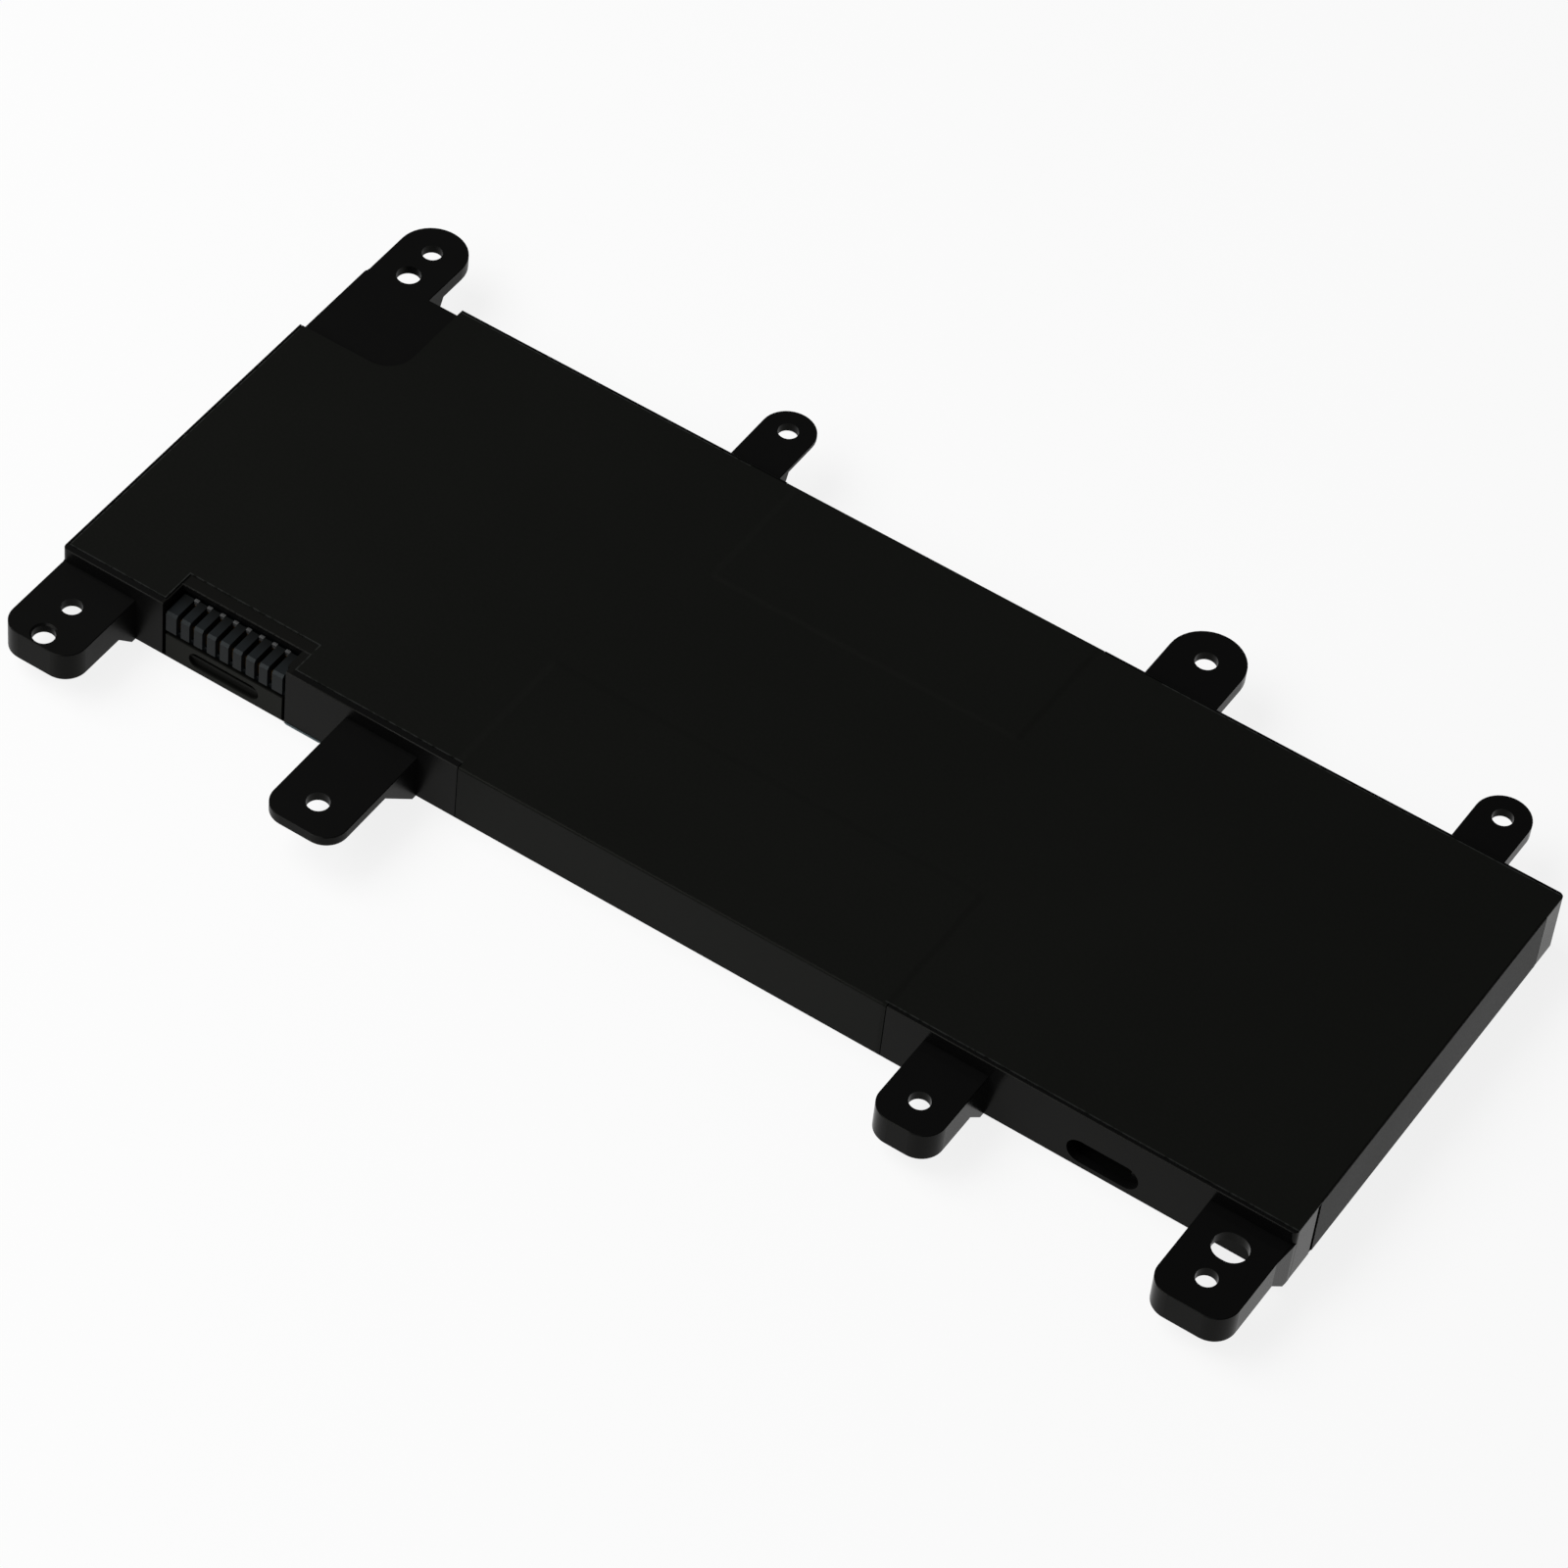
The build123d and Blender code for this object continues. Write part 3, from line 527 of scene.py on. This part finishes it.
def film_finish(name, s):
    """Satin film: fine speckle, cloudy sheen, pale cut edges with a painted highlight along their tops, and
    soft steps over the hidden flaps.
    """
    finish = Finish(name)
    x, y, z = finish.axes()
    upward = finish.facing()[2]
    speckle = finish.noise(s.grain, 3.0)
    cloud = finish.noise(30.0 * MM, 3.0)
    edge = s.flap_edge
    rear = finish.band(x, s.rear_flap_left, s.rear_flap_right, edge) * finish.step(
        y, s.rear_flap_front - edge, s.rear_flap_front
    )
    front = finish.band(x, s.front_flap_left, s.front_flap_right, edge) * (
        1.0 - finish.step(y, s.front_flap_rear, s.front_flap_rear + edge)
    )
    ripple = finish.noise(12.0 * MM, 1.0)
    # A noise that breaks the painted highlight along the edges into dashes
    highlight_dashes = finish.step(finish.noise(0.8 * MM, 2.0), *DASHED_HIGHLIGHT)
    # Upright cut faces near the top: partly their own pale cut, partly painted highlight
    cut = (1.0 - finish.step(upward, *UPRIGHT)) * finish.step(z, s.edge_from, s.edge_from + 0.01 * MM)
    face = finish.mix(0.5 * speckle + 0.5 * cloud, tint(s.tone, 0.8), tint(s.tone, 1.2))
    w = s.edge_width
    far = CAD_HIGH.x - CAD_LOW.x  # beyond every edge of the pack
    # Bands on the level top along each cut edge: painted highlight
    opening = finish.border((x, s.cut_left, s.cut_right), (y, -far, s.cut_rear), w)
    left = finish.border((x, s.sheet_left + w, far), (y, s.sheet_front_left + w, s.sheet_rear - w), w)
    left = left * (1.0 - finish.step(x, s.front_flap_left - w, s.front_flap_left))
    right = finish.border((x, -far, far), (y, s.sheet_front_right + w, s.sheet_rear - w), w)
    right = right * finish.step(x, s.front_flap_right, s.front_flap_right + w)
    edge_highlights = opening.most(left).most(right) * finish.step(upward, *LEVEL)
    return finish.surface(
        Base_Color=finish.mix(cut.most(edge_highlights) * highlight_dashes, face, s.cut_edge_and_highlight_tone),
        Roughness=s.roughness + 0.12 * (speckle - 0.5) + 0.1 * (cloud - 0.5),
        Normal=finish.relief(0.1 * (rear + front) + 0.006 * speckle + 0.05 * ripple),
        Specular_IOR_Level=s.specular,
        Specular_Tint=WARM_SHEEN,
    )


def liner_shell(s):
    """The liner's edge as one closed shell: a flat outline carried along the underside's front edge.

    Its width swells as 4 sin(pi t), held between 0.05 and 1, so that both ends are rounded.
    """
    t = np.linspace(0.0, 1.0, 25)
    ones = np.ones_like(t)
    swell = np.clip(np.sin(np.pi * t) * 4.0, 0.05, 1.0)
    thick = s.liner_share * (UNDER_HIGH.z - UNDER_LOW.z)
    x = s.liner_start + (s.liner_end - s.liner_start) * t
    y = (UNDER_LOW.y - s.liner_reach / 2) * ones
    z = (UNDER_LOW.z + UNDER_HIGH.z) / 2 * ones
    outline = superellipse(s.liner_reach, thick, *LINER_OUTLINE)
    return sweep(outline, np.stack([x, y, z], 1), (0.0, 1.0, 0.0), swell)


class BATTERY_OT_films(bpy.types.Operator):
    """Gives both films their satin finish and adds the edge of the liner at the front"""

    bl_idname = "battery.films"
    bl_label = "Films"

    def execute(self, context):
        s = context.scene.battery_film
        dress(film_finish("satin_film", s), "top_film")
        dress(film_finish("under_film", s), "bottom_film")
        paper = soft_sheet("grey_liner", s.liner_tone, roughness=0.5, fibre=0.2 * MM, relief=0.004)
        solid("liner_edge", [liner_shell(s)], paper, "root")
        return {"FINISHED"}


def spring_shells(s, low, high):
    """The closed shells of one spring: bowed arms, the web between them, the riser and the tail.

    An arm's offset from the slot's middle is half - sheet / 2 - bow * sin(pi t)^2, with t from rear to front.
    The riser climbs as sin(pi t / 2) and narrows along a quarter circle at its top.
    """
    middle = (low.x + high.x) / 2
    half = (high.x - low.x) / 2
    t = np.linspace(0.0, 1.0, 21)
    ones = np.ones_like(t)
    front = low.y
    rear = front + s.arm
    foot = low.z + s.arm_rise
    shells = []
    arm = superellipse(s.arm_height, s.sheet, *ARM_OUTLINE)
    for hand in (-1.0, 1.0):
        offset = half - s.sheet / 2 - s.bow * np.sin(np.pi * t) ** 2
        path = np.stack(
            [middle + hand * offset, rear - s.arm * t, (foot + s.sheet / 2 + s.arm_height / 2) * ones], 1
        )
        shells.append(sweep(arm, path, (0.0, 0.0, 1.0)))
    web = superellipse(2 * half, s.sheet, *ARM_OUTLINE)
    path = np.stack([middle * ones, rear - s.arm * t, (foot + s.sheet / 2) * ones], 1)
    shells.append(sweep(web, path, (1.0, 0.0, 0.0)))
    riser = superellipse(2 * half, s.riser, *RISER_OUTLINE)
    rise = low.z + (high.z - low.z) * np.sin(t * np.pi / 2)
    near = np.clip((rise - high.z + s.riser_round) / s.riser_round, 0.0, 1.0)
    swell = 1.0 - (1.0 - np.sqrt(1.0 - near ** 2)) * s.riser_round / half
    path = np.stack([middle * ones, (rear + s.riser_gap + s.riser / 2) * ones, rise], 1)
    shells.append(sweep(riser, path, (1.0, 0.0, 0.0), swell))
    tail = superellipse(s.tail_width, s.tail, *TAIL_OUTLINE)
    path = np.stack([middle * ones, rear + (high.y - rear) * t, (low.z + s.tail / 2) * ones], 1)
    shells.append(sweep(tail, path, (1.0, 0.0, 0.0)))
    return shells


def spring_finish(s):
    """Plated spring: gold with drawn-out streaks, and dull tin above a height."""
    finish = Finish("plated_spring")
    height = finish.axes()[2]
    streak = finish.noise(0.1 * MM, 3.0, (1.0, 6.0, 1.0))
    top = finish.step(height, s.tin_from - 0.1 * MM, s.tin_from + 0.1 * MM)
    plated = finish.mix(streak, s.gold, tint(s.gold, 0.6))
    return finish.surface(
        Base_Color=finish.mix(top, plated, s.tin),
        Metallic=1.0 - top,
        Roughness=0.4 + 0.15 * streak + 0.2 * top,
        Normal=finish.relief(0.003 * streak),
    )


class BATTERY_OT_connector(bpy.types.Operator):
    """Gives the comb its grey plastic and puts formed springs in place of the plain contacts"""

    bl_idname = "battery.connector"
    bl_label = "Connector"

    def execute(self, context):
        s = context.scene.battery_connector
        # Painted shade darkens the comb towards its rear, and its front bevels carry a painted highlight
        shade = (s.shade_from, s.shade_to)
        comb = moulded("grey_comb", s.tone, s.roughness, s.grain, s.specular, s.painted_highlight, shade)
        dress(comb, "connector_housing")
        plating = spring_finish(s)
        for n in range(1, s.count + 1):
            node = f"connector_contact_{n}"
            dress(plating, node)
            low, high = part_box(node)
            shells = spring_shells(s, low, high)
            piece = solid(f"connector_spring_{n}", shells, plating, "root")
            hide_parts(node)
        return {"FINISHED"}


class BATTERY_OT_cells(bpy.types.Operator):
    """Gives the cells, their tabs, seals, pads and foam their finishes"""

    bl_idname = "battery.cells"
    bl_label = "Cells"

    def execute(self, context):
        s = context.scene.battery_inside
        dress(metal("pouch_foil", s.foil, roughness=0.42, stretch=EVEN), "left_cell", "right_cell")
        aluminium = metal("aluminium_tab", s.aluminium, roughness=0.34, stretch=ALONG_Y)
        nickel = metal("nickel_tab", s.nickel, roughness=0.3, stretch=ALONG_Y)
        seal = soft_sheet("seal_strip", s.seal, roughness=0.45, fibre=0.4 * MM, relief=0.004)
        paper = soft_sheet("adhesive_pad", s.paper, roughness=0.7, fibre=0.2 * MM, relief=0.01)
        foam = soft_sheet("soft_foam", s.foam, roughness=0.9, fibre=0.25 * MM, relief=0.08)
        dress(foam, "cell_divider")
        for side in ("left", "right"):
            dress(aluminium, f"{side}_positive_tab")
            dress(nickel, f"{side}_negative_tab")
            dress(seal, f"{side}_positive_seal", f"{side}_negative_seal")
            dress(paper, f"{side}_cell_pad")
            dress(foam, f"{side}_cell_foam")
        return {"FINISHED"}


def board_finish(s):
    """Solder mask over copper: fine parallel tracks show through where a soft cloud allows them."""
    finish = Finish("board_mask")
    cloud = finish.noise(7.0 * MM, 1.0)
    tracks = finish.node(
        "ShaderNodeTexWave", {"wave_type": "BANDS", "bands_direction": "Y"},
        {"Vector": finish.place, "Scale": 400.0, "Distortion": 0.0},
        "Fac",
    )
    copper = finish.step(tracks, 0.55, 0.65) * finish.step(cloud, 0.45, 0.5)
    weave = finish.noise(0.3 * MM, 2.0)
    return finish.surface(
        Base_Color=finish.mix(copper, s.board, tint(s.board, 1.8)),
        Roughness=0.3 + 0.1 * weave,
        Normal=finish.relief(0.03 * copper + 0.004 * weave),
    )


class BATTERY_OT_board(bpy.types.Operator):
    """Gives the board, its parts, the leads and the tape over them their finishes"""

    bl_idname = "battery.board"
    bl_label = "Board and leads"

    def execute(self, context):
        s = context.scene.battery_inside
        dress(board_finish(s), "circuit_board")
        paper = soft_sheet("insulating_sheet", s.paper, roughness=0.7, fibre=0.2 * MM, relief=0.01)
        dress(paper, "board_sheet")
        chip = moulded("chip_moulding", s.chip, roughness=0.5, grain=0.12 * MM, specular=0.4)
        dress(chip, "protector_chip", "gauge_chip", "charge_transistor", "discharge_transistor")
        ceramic = soft_sheet("fired_ceramic", s.ceramic, roughness=0.4, fibre=0.15 * MM, relief=0.004)
        dress(ceramic, "board_fuse", "sense_resistor", "thermistor", "board_capacitors", "board_resistors")
        strip = metal("nickel_strip", s.nickel, roughness=0.3, stretch=ALONG_X)
        dress(strip, "positive_lead", "series_link", "negative_lead")
        tape = soft_sheet("amber_tape", s.tape, roughness=0.25, fibre=0.8 * MM, relief=0.01)
        dress(tape, "lead_tape")
        return {"FINISHED"}


def direction(azimuth, elevation):
    """Unit vector from the pack towards an azimuth, counted from straight in front, and an elevation."""
    level = math.cos(elevation)
    return Vector((math.sin(azimuth) * level, -math.cos(azimuth) * level, math.sin(elevation)))


def aim(back, roll=0.0):
    """Turn of a camera or light whose back points along a unit vector, rolled about it."""
    right = Vector((-back.y, back.x, 0.0)).normalized()
    up = back.cross(right)
    across = math.cos(roll) * right + math.sin(roll) * up
    upright = back.cross(across)
    return Matrix((across, upright, back)).transposed()


def soft_light(name, target, azimuth, elevation, distance, size, power):
    """A square soft light that looks at the target."""
    lamp = bpy.data.lights.new(name, "AREA")
    lamp.shape = "SQUARE"
    lamp.size = size
    lamp.energy = power
    light = bpy.data.objects.new(name, lamp)
    back = direction(azimuth, elevation)
    light.matrix_world = Matrix.Translation(target + back * distance) @ aim(back).to_4x4()
    bpy.context.scene.collection.objects.link(light)


def floor_finish(s):
    """Pale floor: white to the camera and in reflections, mixed with a lit surface that keeps the shadow."""
    finish = Finish("pale_floor")
    path = finish.node("ShaderNodeLightPath").socket.node.outputs
    seen = Value(finish, path["Is Camera Ray"]) + Value(finish, path["Is Glossy Ray"])
    seen = seen + Value(finish, path["Is Transmission Ray"])
    dust = finish.noise(40.0 * MM, 2.0)
    lit = finish.node(
        "ShaderNodeBsdfDiffuse", None,
        {"Color": finish.mix(dust, tint(s.floor_tone, 0.99), tint(s.floor_tone, 1.01))},
    )
    white = finish.node("ShaderNodeEmission", None, {"Color": (1.0, 1.0, 1.0, 1.0), "Strength": 1.0})
    finish.node_output(finish.node("ShaderNodeMixShader", None, {0: s.floor_glow * seen, 1: lit, 2: white}))
    return finish.material


class BATTERY_OT_stage(bpy.types.Operator):
    """Lays the floor, sets the soft studio light and stands the camera where the photograph was taken"""

    bl_idname = "battery.stage"
    bl_label = "Stage"

    def execute(self, context):
        s = context.scene.battery_stage
        scene = context.scene
        scene.view_settings.view_transform = "Standard"
        target = Vector(s.target)
        reach = s.floor_reach
        level = CAD_LOW.z - FLOOR_GAP
        mesh = bpy.data.meshes.new("floor")
        corners = ((-reach, -reach), (reach, -reach), (reach, reach), (-reach, reach))
        mesh.from_pydata([(x, y, level) for x, y in corners], [], [(0, 1, 2, 3)])
        mesh.materials.append(floor_finish(s))
        floor = bpy.data.objects.new("floor", mesh)
        scene.collection.objects.link(floor)
        room = bpy.data.worlds.new("room")
        room.use_nodes = True
        sky = room.node_tree.nodes["Background"].inputs
        sky["Color"].default_value = (1.0, 1.0, 1.0, 1.0)
        sky["Strength"].default_value = s.world
        scene.world = room
        soft_light(
            "key_light", target, s.key_azimuth, s.key_elevation, s.key_distance, s.key_size, s.key,
        )
        soft_light(
            "fill_light", target, s.fill_azimuth, s.fill_elevation, s.fill_distance, s.fill_size, s.fill,
        )
        lens = bpy.data.cameras.new("camera")
        lens.lens = s.lens
        lens.sensor_width = s.sensor
        lens.clip_start = s.clip_start
        lens.clip_end = s.clip_end
        camera = bpy.data.objects.new("camera", lens)
        back = direction(s.azimuth, s.elevation)
        camera.matrix_world = Matrix.Translation(target + back * s.distance) @ aim(back, s.roll).to_4x4()
        scene.collection.objects.link(camera)
        scene.camera = camera
        return {"FINISHED"}


SETTINGS = {
    "battery_frame": FrameSettings,
    "battery_film": FilmSettings,
    "battery_connector": ConnectorSettings,
    "battery_inside": InsideSettings,
    "battery_stage": StageSettings,
}
OPERATORS = (
    BATTERY_OT_frame,
    BATTERY_OT_films,
    BATTERY_OT_connector,
    BATTERY_OT_cells,
    BATTERY_OT_board,
    BATTERY_OT_stage,
)


class BATTERY_PT_pack(bpy.types.Panel):
    """Lists the steps that dress the pack"""

    bl_idname = "BATTERY_PT_pack"
    bl_label = "Battery pack"
    bl_space_type = "VIEW_3D"
    bl_region_type = "UI"
    bl_category = "Battery pack"

    def draw(self, context):
        for operator in OPERATORS:
            self.layout.operator(operator.bl_idname)
        for group in SETTINGS:
            box = self.layout.box()
            for name in SETTINGS[group].__annotations__:
                box.prop(getattr(context.scene, group), name)


def register():
    """Registers the settings, the operators and the panel."""
    for name, group in SETTINGS.items():
        bpy.utils.register_class(group)
        setattr(bpy.types.Scene, name, PointerProperty(type=group))
    for operator in (*OPERATORS, BATTERY_PT_pack):
        bpy.utils.register_class(operator)


def unregister():
    """Takes away what register added, in reverse."""
    for operator in (BATTERY_PT_pack, *reversed(OPERATORS)):
        bpy.utils.unregister_class(operator)
    for name, group in reversed(SETTINGS.items()):
        delattr(bpy.types.Scene, name)
        bpy.utils.unregister_class(group)


def main():
    """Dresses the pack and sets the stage."""
    register()
    bpy.ops.battery.frame()
    bpy.ops.battery.films()
    bpy.ops.battery.connector()
    bpy.ops.battery.cells()
    bpy.ops.battery.board()
    bpy.ops.battery.stage()


if __name__ == "__main__":
    main()
